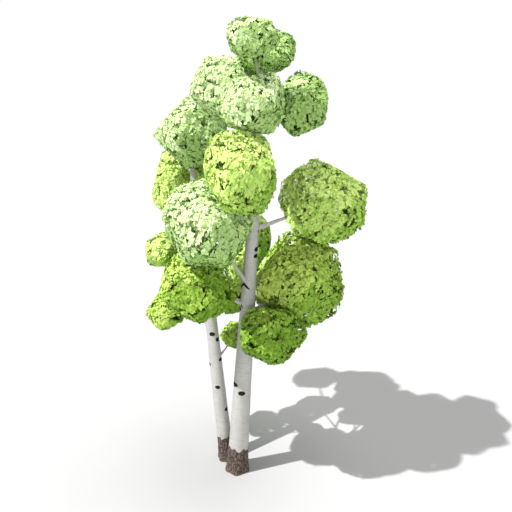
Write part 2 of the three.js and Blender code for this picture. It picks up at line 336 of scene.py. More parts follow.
class BirchTwigSettings(bpy.types.PropertyGroup):
    """How the twigs divide within a mass of foliage."""

    twig_radius: FloatProperty(
        name="Twig radius",
        description="Radius of a twig where it leaves the stem of its mass",
        default=0.012,
        min=0.001,
        unit="LENGTH",
    )
    laterals: FloatProperty(
        name="Laterals",
        description="Laterals in a mass whose mean half-size is one metre",
        default=226,
        min=1,
    )
    shoots: IntProperty(
        name="Shoots",
        description="Shoots on each lateral",
        default=8,
        min=1,
    )
    shoot_length: FloatProperty(
        name="Shoot length",
        description="Length of the longest shoots",
        default=0.22,
        min=0.01,
        unit="LENGTH",
    )
    droop: FloatProperty(
        name="Droop",
        description="How far a shoot's end hangs down, as a share of its length",
        default=0.3,
        min=0,
    )


class BirchLeafSettings(bpy.types.PropertyGroup):
    """Sizes and tones of the leaves."""

    length: FloatProperty(
        name="Leaf length",
        description="Length of a middling leaf with its stalk",
        default=0.079,
        min=0.01,
        unit="LENGTH",
    )
    per_shoot: IntProperty(
        name="Leaves on a shoot",
        description="Leaves that stand along each shoot, its end leaf counted",
        default=8,
        min=1,
    )
    pale_sun: FloatVectorProperty(
        name="Pale sun leaf",
        description="Lightest leaf of the upper masses",
        subtype="COLOR",
        min=0,
        max=1,
        default=(0.74, 0.92, 0.47),
    )
    pale_shade: FloatVectorProperty(
        name="Pale shade leaf",
        description="Darkest leaf of the upper masses",
        subtype="COLOR",
        min=0,
        max=1,
        default=(0.37, 0.58, 0.165),
    )
    lime_sun: FloatVectorProperty(
        name="Lime sun leaf",
        description="Lightest leaf of the middle masses",
        subtype="COLOR",
        min=0,
        max=1,
        default=(0.72, 0.92, 0.27),
    )
    lime_shade: FloatVectorProperty(
        name="Lime shade leaf",
        description="Darkest leaf of the middle masses",
        subtype="COLOR",
        min=0,
        max=1,
        default=(0.32, 0.55, 0.07),
    )
    deep_sun: FloatVectorProperty(
        name="Deep sun leaf",
        description="Lightest leaf of the lowest masses",
        subtype="COLOR",
        min=0,
        max=1,
        default=(0.55, 0.745, 0.145),
    )
    deep_shade: FloatVectorProperty(
        name="Deep shade leaf",
        description="Darkest leaf of the lowest masses",
        subtype="COLOR",
        min=0,
        max=1,
        default=(0.2, 0.385, 0.03),
    )


class BirchStageSettings(bpy.types.PropertyGroup):
    """Floor, light and camera."""

    floor: FloatVectorProperty(
        name="Floor",
        description="Colour of the floor",
        subtype="COLOR",
        min=0,
        max=1,
        default=(0.55, 0.55, 0.55),
    )
    fill: FloatProperty(name="Fill", description="Strength of the light from all round", default=0.17)
    key: FloatProperty(name="Key", description="Strength of the main light", default=4.3)
    top: FloatProperty(name="Top", description="Strength of the overhead light", default=1.65)
    front: FloatProperty(name="Front", description="Strength of the front light", default=1.3)
    key_softness: FloatProperty(
        name="Key softness",
        description="Angle that the main light spreads over",
        default=math.radians(0.9),
        subtype="ANGLE",
    )
    broad_softness: FloatProperty(
        name="Broad softness",
        description="Angle that the overhead light and the front light spread over",
        default=math.radians(45),
        subtype="ANGLE",
    )
    view_angle: FloatProperty(
        name="View angle",
        description="Angle that the camera takes in",
        default=math.radians(45),
        subtype="ANGLE",
    )
    camera_tilt: FloatProperty(
        name="Camera tilt",
        description="How far below level the camera looks",
        default=math.radians(19),
        subtype="ANGLE",
    )
    camera_place: FloatVectorProperty(
        name="Camera place",
        description="Where the camera stands, from the main stem's foot",
        subtype="TRANSLATION",
        default=(0.396, -11.02, 8.59),
    )


class BirchSettings(bpy.types.PropertyGroup):
    """All that a user would change on the tree."""

    bark: PointerProperty(type=BirchBarkSettings, name="Bark", description="Bark")
    twigs: PointerProperty(type=BirchTwigSettings, name="Twigs", description="Twigs")
    leaves: PointerProperty(type=BirchLeafSettings, name="Leaves", description="Leaves")
    stage: PointerProperty(type=BirchStageSettings, name="Stage", description="Stage")


# ---------------------------------------------------------------- curves and seeds


def between(span, share):
    """The value at a share of the way from the first number of a span to its second."""
    return span[0] + (span[1] - span[0]) * share


def smooth_step(low, high, value):
    """0 at low and before, 1 at high and after, and smooth between."""
    share = np.clip((value - low) / (high - low), 0, 1)
    return share * share * (3 - 2 * share)


def unit(vectors):
    """Vectors of length 1."""
    return vectors / np.maximum(np.linalg.norm(vectors, axis=-1, keepdims=True), TINY)


def part_along(directions, vectors):
    """The part of each vector that lies along its unit direction."""
    return directions * (vectors * directions).sum(axis=-1, keepdims=True)


def bezier(points, shares):
    """Places on a Bezier curve of any degree, at an array of shares from 0 to 1."""
    shares = np.asarray(shares, float)[..., None]
    level = [np.asarray(point, float) + 0 * shares for point in points]
    while len(level) > 1:
        level = [a + (b - a) * shares for a, b in zip(level, level[1:])]
    return level[0]


def bezier_heading(points, shares):
    """Unit tangents of a Bezier curve."""
    steps = [np.asarray(b, float) - np.asarray(a, float) for a, b in zip(points, points[1:])]
    return unit(bezier(steps, shares))


def sideways(heading):
    """Two unit directions for each heading, square to it and to each other."""
    across = unit(np.cross(heading, UP + OFF_UPRIGHT * heading[..., ::-1]))
    return across, np.cross(across, heading)


def turn_from(facing, angles):
    """The turn from a facing to each angle, from half a turn back to half a turn on."""
    return (angles - facing + math.pi) % (2 * math.pi) - math.pi


def seeded(seed):
    """Park and Miller's random numbers from 0 to 1."""
    state = SEED_STEP * (seed + 1)

    def draw():
        nonlocal state
        state = state * MULTIPLIER % MODULUS
        return state / MODULUS

    return draw


# ---------------------------------------------------------------- stems, masses and boughs as a plan


class Stem:
    """One stem's curve and radius, in metres."""

    def __init__(self, name, plan):
        self.name = name
        self.plan = plan
        self.height = plan["height"] * MM
        self.curve = [
            np.array((x * MM, y * MM, share * self.height))
            for (x, y), share in zip(plan["across"], (0, 1 / 3, 2 / 3, 1))
        ]

    def radius(self, shares, angles):
        """Radius at a share of the height, on the side that an angle faces."""
        plan = self.plan
        foot, tip = plan["foot_radius"] * MM, plan["tip_radius"] * MM
        turned = angles - plan["toward_other"]
        shaft = tip + (foot - tip) * np.maximum(0, 1 - shares) ** plan["taper"]
        lobe = 1 + FLARE_DEPTH * np.cos(FLARE_LOBES * turned)
        join = ROOT_JOIN * np.maximum(0, np.cos(turned)) ** ROOT_JOIN_POWER
        flare = (FLARE_WIDTH * lobe + join) * MM
        return shaft + flare * np.exp(-shares * self.height / (FLARE_HEIGHT * MM))


class Mass:
    """One mass of foliage: its space, and the bough and stem that carry it, in metres."""

    def __init__(self, index, stem, row):
        self.name, fork, seed, self.tone, middle, half, self.lean = row
        self.index = index
        self.stem = stem
        self.fork = fork and fork * MM
        self.middle = np.array(middle) * MM
        self.half = np.array(half) * MM
        self.size = self.half.mean()
        if fork:
            self.root = (BOUGH_ROOT + BOUGH_ROOT_SHARE * self.size / MM) * MM
        else:
            self.root = TIP_SHARE * stem.plan["tip_radius"] * MM
        draw = seeded(seed)
        spin = 2 * math.pi * draw()
        normals, distances = [], []
        for side in range(FLATS):
            height = 1 - 2 * (side + draw()) / FLATS
            turn = spin + side * GOLDEN_TURN
            wide = math.sqrt(1 - height * height)
            normals.append((wide * math.cos(turn), wide * math.sin(turn), height))
            distances.append(between(FLAT_DISTANCE, draw()))
        self.flat_normals = np.array(normals)
        self.flat_distances = np.array(distances)

    def ellipsoid_reach(self, direction):
        """Distance from the middle to the edge of the ellipsoid that the space is cut from."""
        return 1 / np.linalg.norm(direction / self.half)

    def part_from(self, others):
        """Sets the planes that part this mass from its neighbours."""
        normals, planes = [], []
        for other in others:
            if other is self:
                continue
            normal = other.middle - self.middle
            span = np.linalg.norm(normal)
            normal /= span
            own = self.ellipsoid_reach(normal)
            normals.append(normal)
            planes.append(span * own / (own + other.ellipsoid_reach(normal)) - SPACE_GAP * MM)
        self.parting_normals = np.array(normals)
        self.parting_distances = np.array(planes)

    def edge(self, directions):
        """How far the edge of the space lies along unit directions, and which way it faces there."""
        scaled = directions / self.half
        distance = 1 / np.maximum(np.linalg.norm(scaled, axis=-1), TINY)
        facing = unit(scaled / self.half)
        for lines, normals, distances, scale in (
            (scaled, self.flat_normals, self.flat_distances, self.half),
            (directions, self.parting_normals, self.parting_distances, np.ones(3)),
        ):
            planes = distances / np.maximum(lines @ normals.T, TINY)
            nearest = planes.argmin(axis=-1)
            plane = np.take_along_axis(planes, nearest[..., None], axis=-1)[..., 0]
            facing = np.where((plane < distance)[..., None], unit(normals / scale)[nearest], facing)
            distance = np.minimum(distance, plane)
        return distance, facing

    def reach(self, directions):
        """Distance from the middle to the edge of the space, along unit directions."""
        return self.edge(directions)[0]

    def share_of_reach(self, points):
        """0 at the middle of the space and 1 at its edge."""
        offsets = points - self.middle
        distance = np.linalg.norm(offsets, axis=-1)
        return distance / self.reach(unit(offsets))

    def set_bough(self):
        """Lays the curve from the stem's axis to the middle, and finds where it enters the space."""
        sunk = self.stem.height - TIP_SINK * MM
        share = (self.fork or sunk) / self.stem.height
        start = bezier(self.stem.curve, share)
        control = (start + self.middle) / 2
        control[2] = start[2] + between(RISES, share) * (self.middle[2] - start[2])
        self.curve = [start, control, self.middle]
        steps = np.linspace(0, 1, BOUGH_SAMPLES)
        points = bezier(self.curve, steps)
        self.length = np.linalg.norm(np.diff(points, axis=0), axis=1).sum()
        outside = steps[self.share_of_reach(points) > 1]
        self.enters = outside.max() if self.fork and len(outside) else 0.0

    def bough_radius(self, shares):
        """Radius of the bough, and of the mass's own stem past the place where it enters."""
        end, heart = BOUGH_END * self.root, BOUGH_HEART * self.root
        collar = COLLAR * self.root * np.exp(-shares * self.length / (COLLAR_LENGTH * MM))
        outer = self.root + (end - self.root) * shares / max(self.enters, TINY) + collar
        inner = end + (heart - end) * (shares - self.enters) / (1 - self.enters)
        return np.where(shares > self.enters, inner, outer)


def plan_tree():
    """The stems and masses, each mass with its space and its bough."""
    stems = {name: Stem(name, plan) for name, plan in STEMS.items()}
    masses = []
    for name, carried in CROWN.items():
        for row in carried:
            masses.append(Mass(len(masses), stems[name], row))
    for mass in masses:
        mass.part_from(masses)
    for mass in masses:
        mass.set_bough()
    return stems, masses


stems, masses = plan_tree()


def masses_on(stem):
    """The masses that a stem carries."""
    return [mass for mass in masses if mass.stem is stem]


def limb_samples():
    """Places along every stem and bough, and the radius there, for keeping leaves clear of them."""
    shares = np.linspace(0, 1, STEM_SAMPLES)
    places, radii = [], []
    for stem in stems.values():
        places.append(bezier(stem.curve, shares))
        radii.append(stem.radius(shares, 0 * shares))
    fewer = shares[::BOUGH_EVERY]
    for mass in masses:
        places.append(bezier(mass.curve, fewer))
        radii.append(mass.bough_radius(fewer))
    return np.concatenate(places), np.concatenate(radii)


LIMB_PLACES, LIMB_RADII = limb_samples()


def clear_of_limbs(points, spare):
    """True for each point that lies outside every stem and bough by at least the spare distance."""
    clear = np.ones(len(points), bool)
    low = points.min(axis=0) - LIMB_SEARCH
    high = points.max(axis=0) + LIMB_SEARCH
    near = ((LIMB_PLACES > low) & (LIMB_PLACES < high)).all(axis=1)
    for place, radius in zip(LIMB_PLACES[near], LIMB_RADII[near]):
        clear &= ((points - place) ** 2).sum(axis=1) > (radius + spare) ** 2
    return clear


# ---------------------------------------------------------------- limbs as meshes


def noise_at(points, scale, seed):
    """Smooth noise from -1 to 1 at each point, with the points scaled along X, Y and Z."""
    return np.array([noise.noise(row) for row in (points * scale + seed).tolist()])


def cracks_at(points, scale):
    """1 along the borders of seeded cells, and 0 inside them."""
    gaps = []
    for row in (points * scale).tolist():
        nearest = noise.voronoi(row)[0]
        gaps.append(nearest[1] - nearest[0])
    return 1 - smooth_step(*CLEFT_WIDTH, np.array(gaps))


def scar_field(stem, heights, angles, radii):
    """Above 0 inside a black scar or the dark brow over a bough's root, and below 0 outside."""
    field = np.full(len(heights), -1.0)
    for height, facing, wide, tall in SCARS[stem.name]:
        across = turn_from(math.radians(facing), angles) * radii / (wide / 2 * MM)
        up = (heights - height * MM) / (tall / 2 * MM)
        field = np.maximum(field, 1 - np.sqrt(across**2 + up**2))
    for mass in masses_on(stem):
        if not mass.fork:
            continue
        x, y, _ = mass.curve[1] - mass.curve[0]
        across = turn_from(math.atan2(y, x), angles) * radii
        up = heights - mass.fork - BROW_RISE * mass.root + BROW_SLOPE * np.abs(across)
        wide, tall = BROW_WIDTH * mass.root, BROW_HEIGHT * mass.root
        field = np.maximum(field, 1 - np.sqrt((across / wide) ** 2 + (up / tall) ** 2))
    return field


def stem_surface(stem, foot_height, fissure_depth, shares, angles):
    """Places and surface fields of a stem's bark."""
    radii = stem.radius(shares, angles)
    heights = shares * stem.height
    round_axis = np.stack([radii * np.cos(angles), radii * np.sin(angles), heights], axis=1)
    ragged = noise_at(round_axis, *FOOT_LINE) + RAGS_SHARE * noise_at(round_axis, *FOOT_RAGS)
    foot = np.clip((foot_height + FOOT_SWING * ragged - heights) / FOOT_BLEND, -1, 1)
    scar = scar_field(stem, heights, angles, radii)

    cleft = np.zeros(len(shares))
    low = heights < foot_height + CLEFT_SPARE
    cleft[low] = cracks_at(round_axis[low], CLEFT_CELLS)
    rugged = smooth_step(*RUGGED_RANGE, foot)
    ridges = RIDGE_SHARE * noise_at(round_axis, *RIDGE_GRAIN) - cleft
    papery = SWELL_DEPTH * noise_at(round_axis, *SWELLS) + RIPPLE_DEPTH * noise_at(round_axis, *RIPPLES)
    lip = LIP_HEIGHT * np.exp(-((scar / LIP_WIDTH) ** 2))
    sunk = -SCAR_DEPTH * smooth_step(*SCAR_RANGE, scar) + lip
    relief = papery + rugged * fissure_depth * ridges + (1 - rugged) * sunk

    places = bezier(stem.curve, shares)
    outward = np.stack([np.cos(angles), np.sin(angles), 0 * angles], axis=1)
    places = places + outward * (radii + relief)[:, None]
    fields = {"along": heights, "foot": foot, "cleft": cleft * rugged, "scar": scar}
    fields["age"] = np.ones(len(shares))
    return places, fields


def bough_surface(mass, shares, angles):
    """Places and surface fields of a bough's bark."""
    heading = bezier_heading(mass.curve, shares)
    flat = unit(np.cross(mass.curve[2] - mass.curve[0], mass.curve[1] - mass.curve[0]))
    across = np.cross(flat, heading)
    outward = across * np.cos(angles)[:, None] + flat * np.sin(angles)[:, None]
    axis = bezier(mass.curve, shares)
    radii = mass.bough_radius(shares)
    lumps = 1 + LUMP_SHARE * noise_at(axis + outward * radii[:, None], LUMPS, mass.index)
    places = axis + outward * (radii * lumps)[:, None]
    outside = np.full(len(shares), -1.0)
    fields = {"along": shares * mass.length, "foot": outside, "cleft": 0 * shares, "scar": outside}
    fields["age"] = smooth_step(*AGE_RADII, radii)
    return places, fields


def limb_piece(name, columns, material):
    """One mesh of closed columns of rings, each moved onto its own surface.

    A column is its sides, its rings, the power that draws its rings toward the root, and its surface.
    """
    bm = bmesh.new()
    spans = []
    for sides, rings, _, _ in columns:
        first = len(bm.verts)
        bmesh.ops.create_cone(bm, cap_ends=True, segments=sides, radius1=1, radius2=1, depth=1)
        risers = [e for e in bm.edges if abs(e.verts[0].co.z - e.verts[1].co.z) > 0.5]
        bmesh.ops.subdivide_edges(bm, edges=risers, cuts=rings - 1)
        spans.append((first, len(bm.verts)))
    mesh = bpy.data.meshes.new(name)
    bm.to_mesh(mesh)
    bm.free()
    places = np.zeros(len(mesh.vertices) * 3)
    mesh.vertices.foreach_get("co", places)
    places = places.reshape(-1, 3)
    fields = {field: np.zeros(len(places)) for field in BARK_FIELDS}
    for (first, last), (_, _, power, surface) in zip(spans, columns):
        x, y, z = places[first:last].T
        moved, values = surface(np.clip(z + 0.5, 0, 1) ** power, np.arctan2(y, x))
        places[first:last] = moved
        for field, value in values.items():
            fields[field][first:last] = value
    mesh.vertices.foreach_set("co", places.ravel())
    for field, value in fields.items():
        mesh.attributes.new(field, "FLOAT", "POINT").data.foreach_set("value", value)
    mesh.shade_smooth()
    return add_piece(name, mesh, [material])


def add_object(name, data):
    """Puts a mesh, a light or a camera in the scene."""
    made = bpy.data.objects.new(name, data)
    bpy.context.scene.collection.objects.link(made)
    return made


def add_piece(name, mesh, materials):
    """Puts a finished mesh in the scene as a piece that rides on the tree's body."""
    for material in materials:
        mesh.materials.append(material)
    mesh.update()
    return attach(add_object(name, mesh), "root")


# ---------------------------------------------------------------- growth within a mass


def spiral(count, random):
    """Directions spread evenly by the golden turn, each moved a little within its own band."""
    place = np.arange(count)
    height = 1 - 2 * (place + between(TWIG_BAND, random.rand(count))) / count
    turn = place * GOLDEN_TURN + TWIG_SWING * random.rand(count)
    wide = np.sqrt(1 - height**2)
    return np.stack([wide * np.cos(turn), wide * np.sin(turn), height], axis=1)


def even_directions(mass, count, random):
    """Directions to places spread evenly over the edge of the space, its corners among them."""
    directions = spiral(CANDIDATES * count, random)
    places = directions * mass.reach(directions)[:, None]
    chosen = [random.randint(len(places))]
    apart = np.linalg.norm(places - places[chosen[0]], axis=1)
    while len(chosen) < count:
        chosen.append(int(apart.argmax()))
        apart = np.minimum(apart, np.linalg.norm(places - places[chosen[-1]], axis=1))
    return directions[chosen]


def rows(points):
    """A curve's control points with room for a row of shares."""
    return [np.asarray(point)[..., None, :] for point in points]


def grow_twigs(mass, random):
    """Twigs that fan out from the mass's own stem to near the edge of its space."""
    count = max(FEWEST_TWIGS, round(TWIGS_PER_METRE * mass.size))
    directions = spiral(count, random)
    inside = mass.enters + (1 - mass.enters) * between(TWIG_FORKS, random.rand(count))
    forks = bezier(mass.curve, inside)
    ends = mass.middle + directions * (TWIG_END * mass.reach(directions))[:, None]
    length = np.linalg.norm(ends - forks, axis=1, keepdims=True)
    wander = TWIG_WANDER * (random.rand(count, 3) - 0.5)
    bends = (forks + ends) / 2 + length * (TWIG_ARCH * UP + wander)
    return [forks, bends, ends]


def grow_laterals(mass, twigs, random, per_metre):
    """Laterals that leave the nearest twig: most end near the edge, and the rest in their gaps."""
    count = max(FEWEST_LATERALS, round(per_metre * mass.size**2))
    inner = round(INNER_SHARE * count)
    directions = even_directions(mass, count, random)
    bands = np.where(np.arange(count)[:, None] < count - inner, OUTER_BAND, INNER_BAND)
    shares = between(bands.T, random.rand(count))
    ends = mass.middle + directions * (shares * mass.reach(directions))[:, None]

    steps = np.linspace(*FORKS_ON_TWIG)
    places = bezier(rows(twigs), steps).reshape(-1, 3)
    headings = bezier_heading(rows(twigs), steps).reshape(-1, 3)
    own = between((mass.enters, 1), np.linspace(*FORKS_ON_HEART))
    places = np.concatenate([places, bezier(mass.curve, own)])
    headings = np.concatenate([headings, bezier_heading(mass.curve, own)])
    apart = np.linalg.norm(ends[:, None] - places, axis=2)
    too_far_out = mass.share_of_reach(places) > FORK_DEPTH * shares[:, None]
    nearest = np.argmin(apart + TOO_FAR * too_far_out, axis=1)
    roots = places[nearest]
    away = ends - roots
    length = np.linalg.norm(away, axis=1, keepdims=True)
    toward = unit(LATERAL_FOLLOW * headings[nearest] + unit(away) + LATERAL_LIFT * UP)
    bends = roots + LATERAL_BEND * length * toward
    return [roots, bends, ends]


def grow_shoots(mass, laterals, random, count, longest, droop):
    """Shoots that leave each lateral on all sides and hang a little at their ends."""
    steps = np.linspace(*SHOOT_BAND, count)
    roots = bezier(rows(laterals), steps)
    heading = bezier_heading(rows(laterals), steps)
    number = len(laterals[0])
    across, over = sideways(heading)
    turn = np.arange(count) * GOLDEN_TURN + 2 * math.pi * random.rand(number, 1)
    spread = between(SHOOT_SPREAD, random.rand(number, count))
    spread[:, -1] = END_SPREAD
    turn, spread = turn[..., None], spread[..., None]
    side = np.cos(turn) * across + np.sin(turn) * over
    outward = unit(roots - mass.middle)
    heading = unit(np.cos(spread) * heading + np.sin(spread) * side + SHOOT_OUTWARD * outward)
    length = longest * between(SHOOT_LENGTHS, random.rand(number, count, 1))
    bends = roots + heading * length / 2
    ends = roots + heading * length - droop * length * UP
    edge = between(SHOOT_EDGE, random.rand(number, count, 1))
    drawn_in = []
    for points in (bends, ends):
        beyond = mass.share_of_reach(points)[..., None] / edge
        drawn_in.append(mass.middle + (points - mass.middle) / np.maximum(beyond, 1))
    return [points.reshape(-1, 3) for points in (roots, *drawn_in)]


def grow_mass(mass, settings):
    """Twigs, laterals and shoots of one mass, as control points of their curves."""
    random = np.random.RandomState(TWIG_SEED + mass.index)
    twigs = grow_twigs(mass, random)
    laterals = grow_laterals(mass, twigs, random, settings.laterals)
    habit = (settings.shoots, settings.shoot_length, settings.droop)
    shoots = grow_shoots(mass, laterals, random, *habit)
    return twigs, laterals, shoots, random


def shades_with_painted_light(mass, laterals, random, per_lateral):
    """A shade for each shoot: painted light on the flat sides that face the key lamp, painted shade
    deeper inside, the mass's lean, and one random patch a lateral.
    """
    ends = laterals[2]
    # Painted light and shade: leaves on flat sides that face the key lamp get lighter shades, and
    # leaves deep in the mass get darker ones.
    key_facing = mass.edge(unit(ends - mass.middle))[1] @ unit(np.array(TOWARD_KEY))
    deep = 1 - mass.share_of_reach(ends)
    # The mass's lean darkens or lightens all its leaves: partly its own tone, partly painted shade for
    # a mass in another's shade.
    level = SHADE_MIDDLE + mass.lean - PAINTED_LIGHT_BY_KEY * key_facing + PAINTED_SHADE_BY_DEPTH * deep
    level = level + SHADE_BY_PATCH * (random.rand(len(ends)) - 0.5)
    level = level[:, None] + SHADE_BY_SHOOT * (random.rand(len(ends), per_lateral) - 0.5)
    return np.clip(np.floor(level * LEAF_SHADES), 0, LEAF_SHADES - 1).astype(int).ravel()


def leaf_places(mass, shoots, random, per_shoot, length):
    """Root, heading, face and length of every leaf, and the number of the shoot that it stands on."""
    steps = np.linspace(*LEAF_BAND, per_shoot)
    roots = bezier(rows(shoots), steps)
    heading = bezier_heading(rows(shoots), steps)
    number = len(shoots[0])
    outward = unit(roots - mass.middle)
    side_facing = mass.edge(outward.reshape(-1, 3))[1].reshape(roots.shape)
    facing = unit(side_facing + FACE_OUT * outward + FACE_UP * UP)
    face = unit(facing + FACE_LOOSE * random.normal(size=roots.shape))
    side = unit(np.cross(heading, face))
    side *= np.where(np.arange(per_shoot) % 2, 1, -1)[:, None]
    lean = between(LEAF_LEAN, random.rand(number, per_shoot, 1))
    lean[:, -1] = 0
    heading = np.cos(lean) * heading + np.sin(lean) * side
    heading = unit(heading - LEAF_HANG * UP + LEAF_LOOSE * random.normal(size=roots.shape))
    heading = unit(heading - LEAF_LAY * part_along(facing, heading))
    lengths = length * between(LEAF_LENGTHS, random.rand(number, per_shoot))
    crosses = mass.share_of_reach(roots + heading * lengths[..., None]) > 1
    inward = heading - part_along(side_facing, heading) - LEAF_TURN * outward
    heading = np.where(crosses[..., None], unit(inward), heading)
    face = unit(face - part_along(heading, face))
    shoot = np.repeat(np.arange(number), per_shoot)
    roots, heading, face = (values.reshape(-1, 3) for values in (roots, heading, face))
    lengths = lengths.ravel()
    middles = roots + heading * (lengths / 2)[:, None]
    tips = roots + heading * lengths[:, None]
    kept = (mass.share_of_reach(tips) < 1) & (mass.share_of_reach(middles) < 1)
    kept &= clear_of_limbs(middles, LEAF_CLEARANCE) & clear_of_limbs(roots, 0)
    return roots[kept], heading[kept], face[kept], lengths[kept], shoot[kept]


# ---------------------------------------------------------------- joined meshes from arrays


def joined_mesh(name, vertices, triangles, shades=None):
    """A mesh of triangles, each with the number of its material."""
    mesh = bpy.data.meshes.new(name)
    mesh.vertices.add(len(vertices))
    mesh.vertices.foreach_set("co", vertices.astype(np.float32).ravel())
    mesh.loops.add(triangles.size)
    mesh.loops.foreach_set("vertex_index", triangles.astype(np.int32).ravel())
    mesh.polygons.add(len(triangles))
    mesh.polygons.foreach_set("loop_start", np.arange(0, triangles.size, 3, dtype=np.int32))
    if shades is not None:
        mesh.polygons.foreach_set("material_index", shades.astype(np.int32))
    mesh.update(calc_edges=True)
    return mesh


def leaf_mesh(name, roots, heading, face, lengths, shades):
    """Every leaf as six folded triangles in a leaf's own outline."""
    across = np.cross(heading, face)
    frame_rows = np.stack([across, heading, face], axis=1) * lengths[:, None, None]
    vertices = roots[:, None] + LEAF_OUTLINE @ frame_rows
    first = len(LEAF_OUTLINE) * np.arange(len(roots))
    triangles = LEAF_FACES + first[:, None, None]
    shades = np.repeat(shades, len(LEAF_FACES))
    return joined_mesh(name, vertices.reshape(-1, 3), triangles.reshape(-1, 3), shades)


def tube_arrays(curves, steps, sides, root_radius, end_radius):
    """Vertices and triangles of closed tapering tubes along curves, each ending in a point."""
    shares = np.linspace(0, 1, steps)
    places = bezier(rows(curves), shares)
    heading = bezier_heading(rows(curves), shares)
    across, over = sideways(heading)
    radii = between((root_radius, end_radius), shares)[:, None, None]
    turn = 2 * math.pi * np.arange(sides) / sides
    spokes = across[:, :, None] * np.cos(turn)[:, None] - over[:, :, None] * np.sin(turn)[:, None]
    rings = (places[:, :, None] + radii * spokes)[:, :-1].reshape(len(places), -1, 3)
    vertices = np.concatenate([rings, places[:, -1:]], axis=1)
    triangles = []
    tip = (steps - 1) * sides
    for ring in range(steps - 1):
        for i in range(sides):
            here, after = ring * sides + i, ring * sides + (i + 1) % sides
            if ring == steps - 2:
                triangles.append((here, after, tip))
            else:
                triangles += [(here, after, after + sides), (here, after + sides, here + sides)]
    triangles += [(0, i + 1, i) for i in range(1, sides - 1)]
    first = vertices.shape[1] * np.arange(len(vertices))
    triangles = np.array(triangles) + first[:, None, None]
    return vertices.reshape(-1, 3), triangles.reshape(-1, 3)


# ---------------------------------------------------------------- materials

MIX_FACTOR, MIX_FIRST, MIX_SECOND, MIX_RESULT = 0, 6, 7, 2  # sockets of a Mix node set to colour

CLOUDS = {"Scale": 4.0, "Low": 0.45, "High": 0.75}
CLOUD_STRETCH, CLOUD_STRENGTH = (1, 1, 0.45), 0.55
GREY_BANDS = {"Bands": 17.0, "Breaks": 3.0, "Cover": 0.58, "Softness": 0.12}
GREY_BAND_STRENGTH = 0.5
LENTICELS = {"Bands": 90.0, "Breaks": 9.0, "Cover": 0.62, "Softness": 0.04}
LENTICEL_TONE, LENTICEL_STRENGTH = 0.35, 0.8
SCAR_EDGE = {"Scale": 40.0, "Raggedness": 0.7, "Softness": 0.07}
FOOT_EDGE = {"Scale": 24.0, "Raggedness": 0.9, "Softness": 0.12}
CRUST = {"Scale": 26.0, "Low": 0.35, "High": 0.7}
CRUST_TONE = 1.7
CRACK_RANGE, CRACK_HEIGHT = (0.15, 0.7), 1.5
GRAIN_SCALE, GRAIN_DETAIL, GRAIN_HEIGHT = 90.0, 5.0, 0.4
BUMP = {"Strength": 0.6, "Distance": 0.003}
BARK_ROUGHNESS, BARK_SPECULAR = (0.55, 0.92), 0.35

# Roughness and specular level of the plain materials.
TWIG_FINISH, LEAF_FINISH, FLOOR_FINISH = (0.6, 0.35), (0.6, 0.2), (0.9, 0.1)


def add_node(tree, kind, values=(), **settings):
    """A node with its own settings and its input values; a value may be a socket to link from."""
    made = tree.nodes.new(kind)
    for key, value in settings.items():
        setattr(made, key, value)
    for key, value in dict(values).items():
        if isinstance(value, bpy.types.NodeSocket):
            tree.links.new(value, made.inputs[key])
        else:
            made.inputs[key].default_value = value
    return made


def mixed(tree, factor, first, second):
    """The colour between two colours, by a factor."""
    values = {MIX_FACTOR: factor, MIX_FIRST: first, MIX_SECOND: second}
    return add_node(tree, "ShaderNodeMix", values, data_type="RGBA").outputs[MIX_RESULT]


def worked(tree, operation, first, second):
    """A number worked out from two numbers."""
    return add_node(tree, "ShaderNodeMath", {0: first, 1: second}, operation=operation).outputs[0]


def ranged(tree, value, low, high, out_low=0.0, out_high=1.0):
    """A value carried smoothly from one range to another."""
    values = {"Value": value, "From Min": low, "From Max": high, "To Min": out_low, "To Max": out_high}
    made = add_node(tree, "ShaderNodeMapRange", values, interpolation_type="SMOOTHSTEP")
    return made.outputs["Result"]


def noisy(tree, vector, scale, **more):
    """Noise from 0 to 1 over a vector."""
    values = {"Vector": vector, "Scale": scale, **more}
    return add_node(tree, "ShaderNodeTexNoise", values).outputs["Fac"]


def new_group(name, **inputs):
    """A node group that makes a mask over a vector, with its named numbers and their defaults."""
    group = bpy.data.node_groups.new(name, "ShaderNodeTree")
    add_socket = group.interface.new_socket
    add_socket(name="Vector", in_out="INPUT", socket_type="NodeSocketVector")
    for socket, default in inputs.items():
        add_socket(name=socket, in_out="INPUT", socket_type="NodeSocketFloat").default_value = default
    add_socket(name="Mask", in_out="OUTPUT", socket_type="NodeSocketFloat")
    mask = group.nodes.new("NodeGroupOutput").inputs["Mask"]
    return group, group.nodes.new("NodeGroupInput").outputs, mask


def band_group():
    """Thin marks across a limb, from noise that changes fast along it and slowly round it."""
    numbers = {"Along": 0.0, "Bands": 130.0, "Breaks": 14.0, "Cover": 0.6, "Softness": 0.05}
    group, given, mask = new_group("Bark bands", **numbers)
    along = worked(group, "MULTIPLY", given["Along"], given["Bands"])
    values = {"Vector": given["Vector"], "W": along, "Scale": given["Breaks"], "Detail": 1.0}
    grain = add_node(group, "ShaderNodeTexNoise", values, noise_dimensions="4D").outputs["Fac"]
    high = worked(group, "ADD", given["Cover"], given["Softness"])
    group.links.new(ranged(group, grain, given["Cover"], high), mask)
    return group


def edge_group():
    """A mask from a field that is above 0 inside its mark, with a ragged edge."""
    numbers = {"Field": 0.0, "Scale": 30.0, "Raggedness": 0.5, "Softness": 0.1}
    group, given, mask = new_group("Ragged edge", **numbers)
    grain = noisy(group, given["Vector"], given["Scale"], Detail=4.0)
    shift = worked(group, "MULTIPLY", worked(group, "SUBTRACT", grain, 0.5), given["Raggedness"])
    field = worked(group, "ADD", given["Field"], shift)
    low = worked(group, "MULTIPLY", given["Softness"], -1.0)
    group.links.new(ranged(group, field, low, given["Softness"]), mask)
    return group


def weather_group():
    """Clouds of weathering."""
    group, given, mask = new_group("Weathering", Scale=3.0, Low=0.4, High=0.7)
    grain = noisy(group, given["Vector"], given["Scale"], Detail=6.0, Roughness=0.6)
    group.links.new(ranged(group, grain, given["Low"], given["High"]), mask)
    return group


